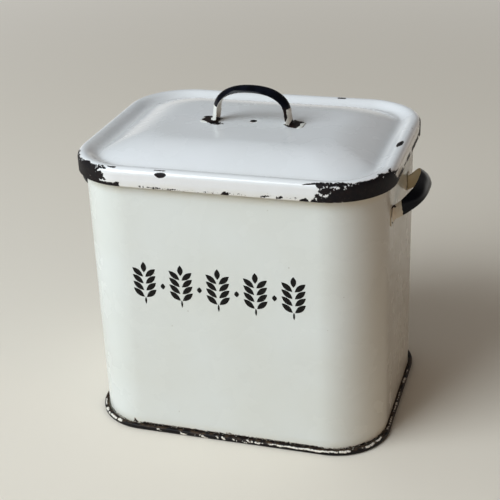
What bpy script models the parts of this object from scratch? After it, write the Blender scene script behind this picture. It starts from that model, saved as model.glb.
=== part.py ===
# Enamelled steel bread bin with a lift-off lid, in metres, +Z up.
# The origin is on the floor, under the middle of the bin. The front faces -Y.

import math

import bmesh
import bpy
from mathutils import Vector

# Body, measured outside the sheet
body_width = 0.334
body_depth = 0.262
body_height = 0.3213  # floor to the top of the rolled rim
corner_radius = 0.062  # of the wall, seen from above
sheet = 0.001  # enamelled sheet steel
gap = 0.0003  # left between pieces that touch

# Rolled rim
wire_diameter = 0.0032

# Folded seam between the wall and the base
seam_pocket = 0.0023  # clear width inside the wall's hook
seam_hook = 0.0024  # height of the hook above its own flange
seam_bend = 0.0005  # bend at the middle of the wall's sheet
base_recess = 0.005  # floor to the underside of the base panel

# Lid
lid_clearance = 0.0017  # sideways, between the skirt and the rim
lid_skirt = 0.013  # straight part of the skirt
bead_radius = 0.007  # outer bend between the skirt and the top
valley_width = 0.0165  # top of the bead to the bottom of the valley
valley_drop = 0.0065
panel_run = 0.058  # valley to the flat top, measured level
panel_rise = 0.016
plateau_corner_radius = 0.026
vent_diameter = 0.006
vent_setback = 0.004  # how far the vent lies behind the lid's middle

# Lid handle
lid_strap_width = 0.018
lid_strap_crown = 0.006  # how far the strap's middle stands over its edges
lid_arch_half_span = 0.0448
lid_arch_height = 0.0425  # flat top of the lid to the top of the handle
lid_leg_height = 0.0105  # flat top of the lid to where the arch starts
lid_foot_splay = 0.0018  # each foot stands this far outside the arch
lid_foot_length = 0.012
lid_foot_width = 0.021

# Side handles
side_strap_width = 0.0175
side_strap_crown = 0.0027
side_arch_half_span = 0.0443
side_arch_reach = 0.0346  # wall to the outermost line of the arch
side_leg_height = 0.0059
side_foot_splay = 0.001
side_foot_length = 0.013
side_foot_width = 0.0205
side_foot_drop = 0.0607  # rim to the middle line of the feet
right_forward = 0.0104  # how far a handle sits in front of the bin's middle
left_forward = 0.0065

# Bends and corners of every strap
strap_bend = 0.003
strap_corner = 0.005
crown_start = 0.005  # height over which a leg gains its full crown

# Shapes of the arches, and how the side handles lean
lid_arch_power = 0.88
side_arch_power = 0.69
side_tilt = math.radians(37.5)
side_twist = math.radians(46.5)
twist_power = 1.5

# Numbers of steps round each bend
corner_steps = 8
seam_steps = 2
roll_steps = 9
bead_steps = 5
valley_steps = 6
panel_steps = 5
arch_steps = 16
foot_steps = 3
bend_steps = 3
strap_sides = 4

quarter = math.pi / 2
roll_turn = math.radians(300)

# Colours as linear red, green and blue
cream = (0.74, 0.72, 0.65)
cool_white = (0.76, 0.77, 0.77)
black = (0.006, 0.006, 0.009)
steel = (0.45, 0.44, 0.42)

# Sizes that follow from the ones above
roll_inner = wire_diameter / 2 + gap
roll_outer = roll_inner + sheet
roll_reach = roll_inner + roll_outer
rim_centre_z = body_height - roll_outer
seam_reach = seam_pocket + sheet + gap + sheet
hook_flange_z = sheet + gap + sheet / 2
seam_height = sheet + gap + sheet + seam_hook + gap + sheet
lid_overhang = roll_reach + lid_clearance + sheet
bead_room = bead_radius - sheet - roll_outer
bead_drop = math.sqrt((bead_room - gap) ** 2 - (bead_room - lid_clearance) ** 2)
bead_centre_z = rim_centre_z - bead_drop
skirt_bottom_z = bead_centre_z - lid_skirt
valley_z = bead_centre_z + bead_radius - valley_drop
plateau_z = valley_z + panel_rise
bead_inset = lid_overhang - bead_radius
valley_inset = bead_inset - valley_width
strap_seat = gap + sheet  # top of a strap's foot over what it stands on


def make_collection(name):
    collection = bpy.data.collections.new(name)
    bpy.context.scene.collection.children.link(collection)
    return collection


def make_material(name, colour, roughness, metallic):
    material = bpy.data.materials.new(name)
    material.use_nodes = True
    shader = material.node_tree.nodes["Principled BSDF"]
    shader.inputs["Base Color"].default_value = (*colour, 1)
    shader.inputs["Roughness"].default_value = roughness
    shader.inputs["Metallic"].default_value = metallic
    return material


def add_object(name, data, material, collection):
    piece = bpy.data.objects.new(name, data)
    data.materials.append(material)
    collection.objects.link(piece)
    return piece


def smooth(mesh):
    mesh.shade_smooth()
    mesh.set_sharp_from_angle(angle=math.radians(35))


def add_wall(piece, offset):
    wall = piece.modifiers.new("sheet", "SOLIDIFY")
    wall.thickness = sheet
    wall.offset = offset
    wall.use_even_offset = True


def rounded_path(corners, bends, steps):
    # A bent line through the corners, with each inner corner rounded.
    path = [Vector(corners[0])]
    for index in range(1, len(corners) - 1):
        corner = Vector(corners[index])
        to_last = (Vector(corners[index - 1]) - corner).normalized()
        to_next = (Vector(corners[index + 1]) - corner).normalized()
        half = to_last.angle(to_next) / 2
        bend = bends[index - 1]
        centre = corner + (to_last + to_next).normalized() * (bend / math.sin(half))
        start = corner + to_last * (bend / math.tan(half)) - centre
        end = corner + to_next * (bend / math.tan(half)) - centre
        turn = start.angle(end)
        for step in range(steps + 1):
            share = step / steps
            spoke = start * math.sin((1 - share) * turn) + end * math.sin(share * turn)
            path.append(centre + spoke / math.sin(turn))
    path.append(Vector(corners[-1]))
    return path


def ring(half_x, half_y, radius, z):
    # A rounded rectangle, anticlockwise from above.
    points = []
    for corner, (side_x, side_y) in enumerate([(1, 1), (-1, 1), (-1, -1), (1, -1)]):
        centre = Vector((side_x * (half_x - radius), side_y * (half_y - radius), z))
        for step in range(corner_steps + 1):
            angle = quarter * (corner + step / corner_steps)
            points.append(centre + radius * Vector((math.cos(angle), math.sin(angle), 0)))
    return points


def wall_ring(offset, z):
    # A ring that runs at one distance from the outside of the wall.
    return ring(body_width / 2 + offset, body_depth / 2 + offset, corner_radius + offset, z)


def loft(name, rings, close_start=False, close_end=False):
    # An open skin over the rings, with a flat end where one is asked for.
    mesh = bpy.data.meshes.new(name)
    build = bmesh.new()
    rows = [[build.verts.new(point) for point in points] for points in rings]
    count = len(rows[0])
    for low, high in zip(rows, rows[1:]):
        for index in range(count):
            after = (index + 1) % count
            build.faces.new((low[index], low[after], high[after], high[index]))
    if close_start:
        build.faces.new(tuple(reversed(rows[0])))
    if close_end:
        build.faces.new(rows[-1])
    build.to_mesh(mesh)
    build.free()
    smooth(mesh)
    return mesh


def make_body_wall(collection, material):
    middle = -sheet / 2
    hook_offset = seam_reach - sheet - gap - sheet / 2
    hook_top = seam_height - sheet - gap
    foot = rounded_path(
        [(hook_offset, hook_top), (hook_offset, hook_flange_z),
         (middle, hook_flange_z), (middle, rim_centre_z)],
        [seam_bend, seam_bend], seam_steps)
    rings = [wall_ring(offset, z) for offset, z in foot]
    roll_middle = (roll_inner + roll_outer) / 2
    for step in range(1, roll_steps + 1):
        angle = math.pi - roll_turn * step / roll_steps
        offset = roll_inner + roll_middle * math.cos(angle)
        rings.append(wall_ring(offset, rim_centre_z + roll_middle * math.sin(angle)))
    piece = add_object("body_wall", loft("body_wall", rings), material, collection)
    add_wall(piece, 0)


def make_rim_wire(collection, material):
    curve = bpy.data.curves.new("rim_wire", "CURVE")
    curve.dimensions = "3D"
    curve.bevel_depth = wire_diameter / 2
    curve.bevel_resolution = 2
    curve.use_fill_caps = True
    points = wall_ring(roll_inner, rim_centre_z)
    spline = curve.splines.new("POLY")
    spline.points.add(len(points) - 1)
    for spot, point in zip(spline.points, points):
        spot.co = (*point, 1)
    spline.use_cyclic_u = True
    add_object("rim_wire", curve, material, collection)


def make_base_pan(collection, material):
    inner_offset = -sheet - gap - sheet / 2
    outer_offset = seam_reach - sheet / 2
    panel_z = base_recess + sheet / 2
    lip_z = seam_height - sheet / 2
    outer_bend = seam_bend + sheet + gap
    panel_edge = -corner_radius / 2
    path = rounded_path(
        [(panel_edge, panel_z), (inner_offset, panel_z), (inner_offset, sheet / 2),
         (outer_offset, sheet / 2), (outer_offset, lip_z), (gap, lip_z)],
        [sheet, outer_bend, outer_bend, sheet], seam_steps)
    rings = [wall_ring(offset, z) for offset, z in path]
    mesh = loft("base_pan", rings, close_start=True)
    piece = add_object("base_pan", mesh, material, collection)
    add_wall(piece, 0)


def make_lid_shell(collection, cutters, material, axis):
    rings = [wall_ring(lid_overhang, skirt_bottom_z)]
    for step in range(bead_steps + 1):
        angle = quarter * step / bead_steps
        offset = bead_inset + bead_radius * math.cos(angle)
        rings.append(wall_ring(offset, bead_centre_z + bead_radius * math.sin(angle)))
    for step in range(1, valley_steps + 1):
        share = step / valley_steps
        drop = valley_drop * (1 - math.cos(math.pi * share)) / 2
        z = bead_centre_z + bead_radius - drop
        rings.append(wall_ring(bead_inset - valley_width * share, z))
    valley_radius = corner_radius + valley_inset
    for step in range(1, panel_steps + 1):
        share = step / panel_steps
        offset = valley_inset - panel_run * share
        radius = valley_radius + (plateau_corner_radius - valley_radius) * share
        z = valley_z + panel_rise * math.sin(quarter * share)
        rings.append(ring(body_width / 2 + offset, body_depth / 2 + offset, radius, z))
    mesh = loft("lid_shell", rings, close_end=True)
    piece = add_object("lid_shell", mesh, material, collection)
    piece.parent = axis
    piece.matrix_parent_inverse = axis.matrix_world.inverted()
    add_wall(piece, -1)

    drill_mesh = bpy.data.meshes.new("vent_drill")
    build = bmesh.new()
    bmesh.ops.create_cone(build, cap_ends=True, segments=16, radius1=vent_diameter / 2,
                          radius2=vent_diameter / 2, depth=sheet * 4)
    build.to_mesh(drill_mesh)
    build.free()
    drill = bpy.data.objects.new("vent_drill", drill_mesh)
    drill.location = (0, vent_setback, plateau_z - sheet / 2)
    drill.hide_render = True
    drill.display_type = "WIRE"
    cutters.objects.link(drill)
    vent = piece.modifiers.new("vent", "BOOLEAN")
    vent.operation = "DIFFERENCE"
    vent.object = drill


def leg_share(v):
    # 0 at a foot, 1 from where a leg has the arch's width and crown.
    return min((v - strap_seat) / crown_start, 1)


def strap_outline(span, heights, power, foot, widths):
    # Places and half widths along a strap, from the end of one foot to the
    # end of the other: u runs along the seat, v stands on it.
    half_span, splay = span
    leg_height, height = heights
    foot_half, strap_half = widths[0] / 2, widths[1] / 2
    foot_u = half_span + splay
    pad = []
    for step in range(foot_steps + 1):
        angle = quarter * step / foot_steps
        u = -(foot_u + foot) + strap_corner * (1 - math.cos(angle))
        pad.append((u, strap_seat, foot_half - strap_corner * (1 - math.sin(angle))))
    arch = []
    for step in range(arch_steps + 1):
        angle = math.pi * step / arch_steps
        side = math.copysign(abs(math.cos(angle)) ** power, math.cos(angle))
        rise = abs(math.sin(angle)) ** power
        arch.append((-half_span * side, leg_height + (height - leg_height) * rise))
    bend = rounded_path([pad[-1][:2], (-foot_u, strap_seat), arch[0]], [strap_bend], bend_steps)
    leg = [(u, v) for u, v in bend[1:-1]]
    line = leg + arch + [(-u, v) for u, v in reversed(leg)]
    strap = [(u, v, foot_half + (strap_half - foot_half) * leg_share(v)) for u, v in line]
    return pad + strap + [(-u, v, half) for u, v, half in reversed(pad)]


def make_strap(name, stations, crown, place, material, collection):
    # A pressed strap. place(u, v) gives the point on its middle line and the
    # direction across it, which turns outwards when crossed with the way along.
    rows = []
    middles = [place(u, v) for u, v, _ in stations]
    for index, (u, v, half) in enumerate(stations):
        point, across = middles[index]
        before = middles[max(index - 1, 0)][0]
        after = middles[min(index + 1, len(middles) - 1)][0]
        outward = across.cross(after - before).normalized()
        row = []
        for step in range(strap_sides + 1):
            side = 2 * step / strap_sides - 1
            sink = crown * leg_share(v) * side ** 2
            row.append(point + across * (half * side) - outward * sink)
        rows.append(row)
    mesh = bpy.data.meshes.new(name)
    build = bmesh.new()
    grid = [[build.verts.new(point) for point in row] for row in rows]
    for row, next_row in zip(grid, grid[1:]):
        for step in range(strap_sides):
            build.faces.new((row[step], row[step + 1], next_row[step + 1], next_row[step]))
    build.to_mesh(mesh)
    build.free()
    smooth(mesh)
    piece = add_object(name, mesh, material, collection)
    add_wall(piece, -1)
    return piece


def make_lid_handle(collection, material, axis):
    stations = strap_outline((lid_arch_half_span, lid_foot_splay),
                             (lid_leg_height, lid_arch_height), lid_arch_power,
                             lid_foot_length, (lid_foot_width, lid_strap_width))

    def place(u, v):
        return Vector((u, 0, plateau_z + v)), Vector((0, -1, 0))

    piece = make_strap("lid_handle", stations, lid_strap_crown, place, material, collection)
    piece.parent = axis
    piece.matrix_parent_inverse = axis.matrix_world.inverted()


def make_side_handle(name, side, forward, collection, material):
    # side is 1 on the right wall and -1 on the left one.
    stations = strap_outline((side_arch_half_span, side_foot_splay),
                             (side_leg_height, side_arch_reach), side_arch_power,
                             side_foot_length, (side_foot_width, side_strap_width))
    foot_z = body_height - side_foot_drop

    def place(u, v):
        lift = max(v - strap_seat, 0)
        twist = side_twist * (lift / (side_arch_reach - strap_seat)) ** twist_power
        x = body_width / 2 + strap_seat + lift * math.cos(side_tilt)
        point = Vector((side * x, u - forward, foot_z + lift * math.sin(side_tilt)))
        return point, Vector((math.sin(twist), 0, -side * math.cos(twist)))

    make_strap(name, stations, side_strap_crown, place, material, collection)


def make_lid_axis(collection):
    # The lid lifts along +Z through this point.
    axis = bpy.data.objects.new("lid_axis", None)
    axis.location = (0, 0, skirt_bottom_z)
    collection.objects.link(axis)
    bpy.context.view_layer.update()
    return axis


def main():
    for old in list(bpy.data.objects):
        bpy.data.objects.remove(old, do_unlink=True)
    parts = make_collection("bread_bin")
    cutters = make_collection("bread_bin_cutters")
    axis = make_lid_axis(parts)
    make_body_wall(parts, make_material("wall_enamel", cream, 0.18, 0))
    make_rim_wire(parts, make_material("drawn_wire", steel, 0.4, 1))
    make_base_pan(parts, make_material("base_enamel", cream, 0.25, 0))
    make_lid_shell(parts, cutters, make_material("lid_enamel", cool_white, 0.15, 0), axis)
    make_lid_handle(parts, make_material("lid_handle_enamel", black, 0.15, 0), axis)
    for name, side, forward in (("handle_right", 1, right_forward), ("handle_left", -1, left_forward)):
        enamel = make_material(name + "_enamel", black, 0.15, 0)
        make_side_handle(name, side, forward, parts, enamel)


main()
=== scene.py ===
import math

import bmesh
import bpy
import numpy as np
from mathutils import Matrix, Vector, noise


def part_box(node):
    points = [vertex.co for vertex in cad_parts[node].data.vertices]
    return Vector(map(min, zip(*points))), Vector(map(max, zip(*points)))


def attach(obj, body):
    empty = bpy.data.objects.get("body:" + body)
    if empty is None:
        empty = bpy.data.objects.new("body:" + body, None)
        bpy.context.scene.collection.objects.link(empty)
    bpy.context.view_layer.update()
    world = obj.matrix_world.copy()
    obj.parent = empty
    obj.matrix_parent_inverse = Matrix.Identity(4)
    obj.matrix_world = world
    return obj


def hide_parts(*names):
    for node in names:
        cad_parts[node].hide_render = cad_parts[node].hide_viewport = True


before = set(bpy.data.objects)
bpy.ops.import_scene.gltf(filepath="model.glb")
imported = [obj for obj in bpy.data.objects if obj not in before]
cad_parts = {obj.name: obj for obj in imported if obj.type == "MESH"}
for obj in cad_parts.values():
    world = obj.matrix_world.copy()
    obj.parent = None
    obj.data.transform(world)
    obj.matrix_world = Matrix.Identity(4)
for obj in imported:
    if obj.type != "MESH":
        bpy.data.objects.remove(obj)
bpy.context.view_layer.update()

# Enamelled bread bin. Metres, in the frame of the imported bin: the front faces -Y.
mm = 0.001
quarter = math.pi / 2

binSizes = {
    "halfWidth": 167 * mm,      # outside of the wall
    "halfDepth": 131 * mm,
    "cornerRadius": 62 * mm,
    "sheet": 1 * mm,            # steel with enamel on both sides
    "enamelEdge": 0.32 * mm,    # how round the enamel runs over a cut edge
    "edgeSegments": 2,
    "edgeAngle": math.radians(60),      # bends sharper than this are cut edges
    "smoothAngle": math.radians(50),
}


# Camera

photoCamera = {
    "azimuth": 17.543,          # degrees, from straight in front
    "elevation": 25.295,
    "roll": -2.266,
    "distance": 1347.8 * mm,
    "target": (-8.9 * mm, 0, 175.5 * mm),
    "focalPixels": 1158.8,
    "photoPixels": 500,
    "sensor": 36,
    "clipEnd": 20,
}


def makeCamera():
    look = photoCamera
    azimuth, elevation, roll = (math.radians(look[name]) for name in ("azimuth", "elevation", "roll"))
    back = Vector((math.sin(azimuth) * math.cos(elevation),
                   -math.cos(azimuth) * math.cos(elevation), math.sin(elevation)))
    level = Vector((0, 0, 1)).cross(back).normalized()
    upright = back.cross(level)
    across = level * math.cos(roll) + upright * math.sin(roll)
    up = upright * math.cos(roll) - level * math.sin(roll)
    place = Vector(look["target"]) + back * look["distance"]
    bpy.ops.object.camera_add()
    camera = bpy.context.object
    camera.name = "photoCamera"
    camera.data.sensor_width = look["sensor"]
    camera.data.lens = look["focalPixels"] * look["sensor"] / look["photoPixels"]
    camera.data.clip_end = look["clipEnd"]
    camera.matrix_world = Matrix.Translation(place) @ Matrix((across, up, back)).transposed().to_4x4()
    bpy.context.scene.camera = camera
    bpy.context.view_layer.update()
    return camera


def sightLine(camera, pixel):
    # From the camera through a pixel of the photo.
    middle = photoCamera["photoPixels"] / 2
    reach = Vector((pixel[0] - middle, middle - pixel[1], -photoCamera["focalPixels"]))
    return camera.matrix_world.translation, (camera.matrix_world.to_3x3() @ reach).normalized()


# Nodes and materials

def hexColour(text):
    # sRGB hex to the linear colour that a shader takes.
    shares = [int(text[place:place + 2], 16) / 255 for place in (1, 3, 5)]
    return [share / 12.92 if share <= 0.04045 else ((share + 0.055) / 1.055) ** 2.4 for share in shares] + [1]


def firstOutput(node):
    return next(output for output in node.outputs if output.enabled)


def addNode(tree, kind, inputs=(), **settings):
    # Inputs are listed in the node's own order, such as value, from and from, to and to for a
    # MapRange, or by name. Each is a value, a hex colour, another node's output, or a node for its
    # first output.
    node = tree.nodes.new("ShaderNode" + kind)
    for name, value in settings.items():
        setattr(node, name, value)
    sockets = [socket for socket in node.inputs if socket.enabled]
    if isinstance(inputs, dict):
        sockets = [next(socket for socket in sockets if socket.name == name) for name in inputs]
        inputs = inputs.values()
    for socket, value in zip(sockets, inputs):
        if isinstance(value, bpy.types.Node):
            value = firstOutput(value)
        if isinstance(value, bpy.types.NodeSocket):
            tree.links.new(value, socket)
        else:
            socket.default_value = hexColour(value) if isinstance(value, str) else value
    return node


def newMaterial(name, settings, patterns={}):
    # A material with its shader set, and one noise on the piece's own coordinates for each pattern:
    # its size, and how many finer ones are laid over it.
    material = bpy.data.materials.new(name)
    material.use_nodes = True
    tree = material.node_tree
    shader = tree.nodes["Principled BSDF"]
    for socket, value in settings.items():
        shader.inputs[socket].default_value = value
    place = addNode(tree, "TexCoord").outputs["Object"]
    noises = {pattern: addNode(tree, "TexNoise", [place, 1 / size, detail])
              for pattern, (size, detail) in patterns.items()}
    return material, tree, shader, place, noises


def feed(tree, node, sources):
    for name, source in sources.items():
        tree.links.new(firstOutput(source), node.inputs[name])


def readAttributes(tree, *names):
    return [addNode(tree, "Attribute", attribute_name=name).outputs["Fac"] for name in names]


enamelPatterns = {
    "drift": (95 * mm, 3),      # patches where the white was fired a little thicker
    "pool": (16 * mm, 3),       # uneven edge of the stained bands
    "smear": (40 * mm, 4),      # wiped dullness
    "peel": (7 * mm, 2),        # orange peel
    "wave": (70 * mm, 0),       # slow waves in the sheet
    "coarse": (2.8 * mm, 3),    # bites along the edge of a chip
    "fine": (1 * mm, 2),
    "fleck": (1.7 * mm, 1),     # crumbs of white left near a chip's edge
    # uneven edge of the tinted bands: stains, and painted shade under the lid
    "rust": (5 * mm, 4),
    "grit": (0.9 * mm, 1),
}

enamelLook = {
    # dust in the valley, with the painted warm shade that lies along it
    "dustAndShade": "#d6cbbb",
    "speck": "#8a8271",
    "grit": "#8d8a86",
    "speckCell": 19 * mm,       # one speck at most in each cell of this size
    "peelDepth": 0.02 * mm,
    "chipDepth": 0.25 * mm,
    "chipEdge": 0.12,           # mm to each side over which a chip's edge fades in
}

lidEnamelLook = {
    "glaze": 1,                 # how much of the glaze's shine is left
    "white": "#edf0f4",
    "shade": "#e8ebee",
    "bands": [(303 * mm, 311 * mm, "#dad6c6", 0.55)],
    "specks": 0.3,
    "lip": "#f4f4f3",
    "ground": "#0f0d11",
    "rust": 0.4,
    "rustColour": "#2b1c19",
    "gloss": 0.17,
    "waves": 0.25 * mm,
}

wallEnamelLook = {
    "glaze": 0.35,
    "white": "#e2e8e7",
    "shade": "#dfe4e1",
    # The first band is painted shade on the top of the wall under the lid's skirt; the second yellows the
    # foot.
    "bands": [(303 * mm, 290 * mm, "#d6ceb0", 0.5), (4 * mm, 16 * mm, "#d8d2bb", 0.5)],
    "specks": 0.6,
    "lip": "#c0aa8d",
    "ground": "#110e10",
    "rust": 0.45,
    "rustColour": "#4a3428",
    "gloss": 0.06,
    "waves": 0.3 * mm,
}


# Vitreous enamel: white glass fired onto sheet steel over a dark ground coat. It gives a
# deep wet gloss, a faint orange peel, and dull blue-black chips with rust where it has broken.
def vitreousEnamel(name, look):
    material, tree, shader, place, noises = newMaterial(
        name, {"IOR": 1.52, "Specular IOR Level": 0.15, "Coat Roughness": look["gloss"]}, enamelPatterns)
    height = addNode(tree, "SeparateXYZ", [place]).outputs["Z"]
    wear, fray, valley = readAttributes(tree, "wear", "fray", "valley")

    drift = addNode(tree, "MapRange", [noises["drift"], 0.38, 0.64])
    colour = addNode(tree, "Mix", [drift, look["white"], look["shade"]], data_type="RGBA")
    pool = addNode(tree, "MapRange", [noises["pool"], 0.3, 0.6, 0.35])
    # Bands by height: stains, and on the wall's top painted shade under the lid.
    for full, clear, tint, strength in look["bands"]:
        band = addNode(tree, "MapRange", [height, full, clear, strength, 0])
        share = addNode(tree, "Math", [band, pool], operation="MULTIPLY")
        colour = addNode(tree, "Mix", [share, colour, tint], data_type="RGBA")

    # Years of dust wiped into the hollows, and painted warm shade along the valley, both where the valley
    # attribute marks.
    dustAndShade = addNode(tree, "Math", [valley, pool], operation="MULTIPLY")
    colour = addNode(tree, "Mix", [dustAndShade, colour, enamelLook["dustAndShade"]], data_type="RGBA")

    # Specks in the glaze, drawn about 1 mm wide so that they show.
    cells = addNode(tree, "TexVoronoi", [place, 1 / enamelLook["speckCell"]])
    dot = addNode(tree, "MapRange", [cells.outputs["Distance"], 0.022, 0.045, 1, 0])
    pick = addNode(tree, "SeparateColor", [cells.outputs["Color"]])
    some = addNode(tree, "MapRange", [pick, 0.62, 0.9, 0, look["specks"]])
    speck = addNode(tree, "Math", [dot, some], operation="MULTIPLY")
    colour = addNode(tree, "Mix", [speck, colour, enamelLook["speck"]], data_type="RGBA")

    # The wear attribute is the depth into a chip in mm, and noise frays the chip's edge.
    both = addNode(tree, "Math", [noises["coarse"], noises["fine"]], operation="ADD")
    bite = addNode(tree, "Math", [both, 4.2, -4.2], operation="MULTIPLY_ADD")
    broken = addNode(tree, "Math", [bite, fray, wear], operation="MULTIPLY_ADD")
    fleck = addNode(tree, "MapRange", [noises["fleck"], 0.6, 0.78, 0, -5])
    edge = addNode(tree, "Math", [fleck, fray, broken], operation="MULTIPLY_ADD")
    chipped = addNode(tree, "MapRange", [edge, -enamelLook["chipEdge"], enamelLook["chipEdge"]])
    lip = addNode(tree, "MapRange", [edge, -0.75, -0.1, 0, 0.5])
    colour = addNode(tree, "Mix", [lip, colour, look["lip"]], data_type="RGBA")
    rust = addNode(tree, "MapRange", [noises["rust"], 0.42, 0.72, 0, look["rust"]])
    ground = addNode(tree, "Mix", [rust, look["ground"], look["rustColour"]], data_type="RGBA")
    grit = addNode(tree, "MapRange", [noises["grit"], 0.64, 0.76, 0, 0.12])
    ground = addNode(tree, "Mix", [grit, ground, enamelLook["grit"]], data_type="RGBA")
    colour = addNode(tree, "Mix", [chipped, colour, ground], data_type="RGBA")

    smear = addNode(tree, "MapRange", [noises["smear"], 0.35, 0.7, 0.22, 0.32])
    roughness = addNode(tree, "Math", [chipped, 0.3, smear], operation="MULTIPLY_ADD")
    glass = addNode(tree, "MapRange", [chipped, 0, 1, look["glaze"], 0])

    peel = addNode(tree, "Bump", {"Height": noises["peel"], "Strength": 0.35,
                                  "Distance": enamelLook["peelDepth"]})
    wave = addNode(tree, "Bump", {"Height": noises["wave"], "Distance": look["waves"], "Normal": peel})
    floorHeight = addNode(tree, "MapRange", [noises["fine"], 0, 1, -0.7, -1.3])
    chipHeight = addNode(tree, "Math", [chipped, floorHeight], operation="MULTIPLY")
    step = addNode(tree, "Bump", {"Height": chipHeight, "Strength": 0.8, "Normal": wave,
                                  "Distance": enamelLook["chipDepth"]})
    feed(tree, shader, {"Base Color": colour, "Roughness": roughness, "Normal": step,
                        "Coat Weight": glass, "Coat Normal": step})
    return material


seamLook = {
    "patterns": {"bite": (1.8 * mm, 3), "rust": (6 * mm, 4), "grey": (1.4 * mm, 2)},
    "white": "#e6e3da",
    "ground": "#0d0b0e",
    "grey": "#4a474b",
    "rust": "#6b5540",
    "rustFrom": 4.4 * mm,       # heights between which the rust comes in
    "rustTo": 5.8 * mm,
    "glassDepth": 0.25 * mm,
    "pitDepth": 0.15 * mm,
}


# The seam's enamel: the same glass hammered off the folded edge, down to the dark ground
# coat, with slivers of white left on it and rust along its top.
def wornSeamEnamel(name):
    look = seamLook
    material, tree, shader, place, noises = newMaterial(
        name, {"IOR": 1.52, "Specular IOR Level": 0.15, "Coat Roughness": 0.15}, look["patterns"])
    white, inner = readAttributes(tree, "white", "inside")
    bite = addNode(tree, "MapRange", [noises["bite"], 0.2, 0.8, -0.6, 0.6])
    edge = addNode(tree, "Math", [white, bite], operation="ADD")
    left = addNode(tree, "MapRange", [edge, 0.2, 0.27])
    kept = addNode(tree, "Math", [left, inner], operation="MAXIMUM")

    height = addNode(tree, "SeparateXYZ", [place]).outputs["Z"]
    rust = addNode(tree, "MapRange", [noises["rust"], 0.42, 0.68, 0, 0.6])
    top = addNode(tree, "MapRange", [height, look["rustFrom"], look["rustTo"], 0.1])
    rustShare = addNode(tree, "Math", [rust, top], operation="MULTIPLY")
    ground = addNode(tree, "Mix", [rustShare, look["ground"], look["rust"]], data_type="RGBA")
    grey = addNode(tree, "MapRange", [noises["grey"], 0.55, 0.75, 0, 0.3])
    ground = addNode(tree, "Mix", [grey, ground, look["grey"]], data_type="RGBA")
    colour = addNode(tree, "Mix", [kept, ground, look["white"]], data_type="RGBA")
    roughness = addNode(tree, "MapRange", [kept, 0, 1, 0.45, 0.25])
    layers = addNode(tree, "Bump", {"Height": kept, "Strength": 0.8, "Distance": look["glassDepth"]})
    pits = addNode(tree, "Bump", {"Height": noises["grey"], "Strength": 0.5, "Normal": layers,
                                  "Distance": look["pitDepth"]})
    feed(tree, shader, {"Base Color": colour, "Roughness": roughness, "Normal": pits,
                        "Coat Weight": kept})
    return material


blackLook = {
    "patterns": {"wobble": (2.6 * mm, 3), "thick": (9 * mm, 3), "breaks": (2.2 * mm, 4),
                 "smear": (14 * mm, 4), "peel": (4 * mm, 3)},
    "black": "#070910",
    "thin": "#0f111b",          # where the black was brushed thinner
    "ground": "#120d0f",
    "rust": "#33201b",
    "peelDepth": 0.06 * mm,
    "layerDepth": 0.15 * mm,
}

# What shows of the enamel under the black: nearly white on the lid, cream on the sides.
lidStrapLook = {"white": "#e0e1dc", "shade": "#d4d5cf", "bands": []}
sideStrapLook = {"white": "#e8e5da", "shade": "#dfdacb"}
sideInsideShadedLook = {"white": "#d8cbaf", "shade": "#c6b797", "bands": []}      # and inside these, painted darker and warmer as shade


# Black enamel brushed over the cream on the outside of the handles: a high gloss, soft
# brush marks, and a wavering edge where it stops short of the feet.
def blackOverCream(name, look):
    material, tree, shader, _, noises = newMaterial(
        name, {"IOR": 1.52, "Specular IOR Level": 0.12}, blackLook["patterns"])
    coat, wear, fray = readAttributes(tree, "coat", "wear", "fray")
    shift = addNode(tree, "MapRange", [noises["wobble"], 0, 1, -1.2, 1.2])
    edge = addNode(tree, "Math", [coat, shift], operation="ADD")
    black = addNode(tree, "MapRange", [edge, -0.15, 0.15])
    thickness = addNode(tree, "MapRange", [noises["thick"], 0.35, 0.65])
    blackTone = addNode(tree, "Mix", [thickness, blackLook["black"], blackLook["thin"]], data_type="RGBA")
    creamTone = addNode(tree, "Mix", [thickness, look["white"], look["shade"]], data_type="RGBA")
    colour = addNode(tree, "Mix", [black, creamTone, blackTone], data_type="RGBA")

    bite = addNode(tree, "MapRange", [noises["breaks"], 0, 1, -3, 3])
    chipEdge = addNode(tree, "Math", [bite, fray, wear], operation="MULTIPLY_ADD")
    chipped = addNode(tree, "MapRange", [chipEdge, -enamelLook["chipEdge"], enamelLook["chipEdge"]])
    rust = addNode(tree, "MapRange", [noises["breaks"], 0.45, 0.7, 0, 0.6])
    ground = addNode(tree, "Mix", [rust, blackLook["ground"], blackLook["rust"]], data_type="RGBA")
    colour = addNode(tree, "Mix", [chipped, colour, ground], data_type="RGBA")

    smear = addNode(tree, "MapRange", [noises["smear"], 0.35, 0.7, 0.1, 0.22])
    roughness = addNode(tree, "Math", [chipped, 0.35, smear], operation="MULTIPLY_ADD")
    peel = addNode(tree, "Bump", {"Height": noises["peel"], "Strength": 0.5,
                                  "Distance": blackLook["peelDepth"]})
    layers = addNode(tree, "Math", [black, chipped], operation="SUBTRACT")
    step = addNode(tree, "Bump", {"Height": layers, "Strength": 0.8, "Normal": peel,
                                  "Distance": blackLook["layerDepth"]})
    feed(tree, shader, {"Base Color": colour, "Roughness": roughness, "Normal": step})
    return material


steelLook = {
    "patterns": {"oxide": (9 * mm, 4), "draw": (0.6 * mm, 2)},
    "bright": "#a8a5a0",
    "oxide": "#6f665c",
    "drawDepth": 0.04 * mm,
}


# Drawn steel wire, plain and slightly oxidised: a grey satin sheen with fine draw lines.
def drawnSteel():
    look = steelLook
    material, tree, shader, _, noises = newMaterial("drawnSteel", {"Metallic": 1}, look["patterns"])
    oxide = addNode(tree, "MapRange", [noises["oxide"], 0.4, 0.7])
    colour = addNode(tree, "Mix", [oxide, look["bright"], look["oxide"]], data_type="RGBA")
    roughness = addNode(tree, "MapRange", [oxide, 0, 1, 0.32, 0.55])
    lines = addNode(tree, "Bump", {"Height": noises["draw"], "Strength": 0.4,
                                   "Distance": look["drawDepth"]})
    feed(tree, shader, {"Base Color": colour, "Roughness": roughness, "Normal": lines})
    return material


# Modelling by hand: rings grown from a rounded outline

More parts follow.
